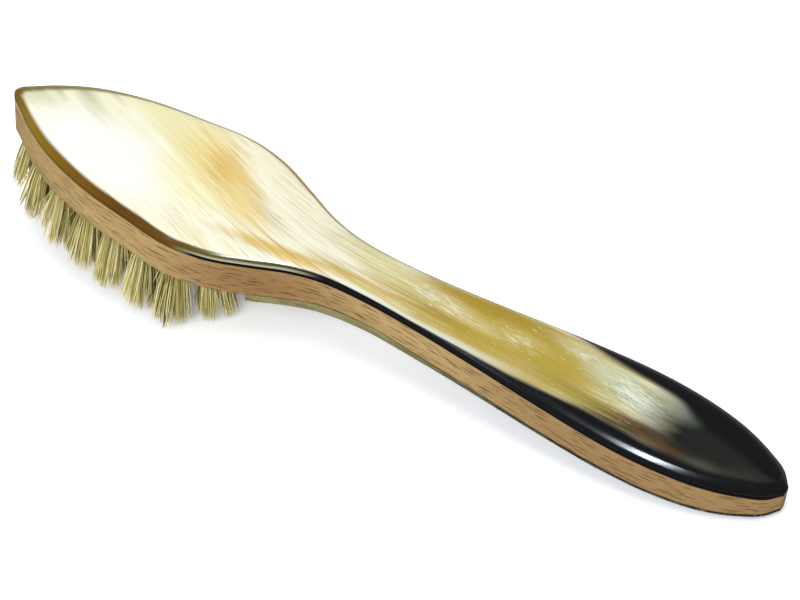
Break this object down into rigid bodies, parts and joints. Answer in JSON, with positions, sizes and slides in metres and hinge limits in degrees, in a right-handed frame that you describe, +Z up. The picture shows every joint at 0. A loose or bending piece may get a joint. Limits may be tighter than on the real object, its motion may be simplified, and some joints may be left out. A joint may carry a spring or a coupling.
{
  "type": "clothes brush",
  "caption": "Handled clothes brush: leaf-shaped beech head and handle faced with polished horn, bristle tufts drawn into blind holes by wire.",
  "frame": {"origin": "on the surface that the brush rests on, under the middle of its bounding box", "axes": "+X from the head's tip to the handle's tip, +Y across the brush, +Z up from the surface; the brush is symmetrical about the plane Y = 0"},
  "size_m": [0.2512, 0.0486, 0.0473],
  "materials": {
    "beech": "steamed beech, oiled, satin",
    "horn_back": "polished ox horn, pale on the head and black at the handle's tip",
    "horn_grip": "polished ox horn, grey-green to black",
    "wire": "drawn",
    "bristle": "natural boar bristle, trimmed"
  },
  "bodies": {
    "root": {"beech_body": "beech", "horn_back_plate": "horn_back", "horn_grip_plate": "horn_grip", "drawing_wire_outer": "wire", "drawing_wire_inner": "wire", "drawing_wire_centre": "wire", "tuft_outer_01": "bristle", "tuft_outer_02": "bristle", "tuft_outer_03": "bristle", "tuft_outer_04": "bristle", "tuft_outer_05": "bristle", "tuft_outer_06": "bristle", "tuft_outer_07": "bristle", "tuft_outer_08": "bristle", "tuft_outer_09": "bristle", "tuft_outer_10": "bristle", "tuft_outer_11": "bristle", "tuft_outer_12": "bristle", "tuft_outer_13": "bristle", "tuft_outer_14": "bristle", "tuft_outer_15": "bristle", "tuft_outer_16": "bristle", "tuft_inner_01": "bristle", "tuft_inner_02": "bristle", "tuft_inner_03": "bristle", "tuft_inner_04": "bristle", "tuft_inner_05": "bristle", "tuft_inner_06": "bristle", "tuft_inner_07": "bristle", "tuft_inner_08": "bristle", "tuft_inner_09": "bristle", "tuft_inner_10": "bristle", "tuft_centre_01": "bristle", "tuft_centre_02": "bristle", "tuft_centre_03": "bristle"}
  },
  "joints": []
}
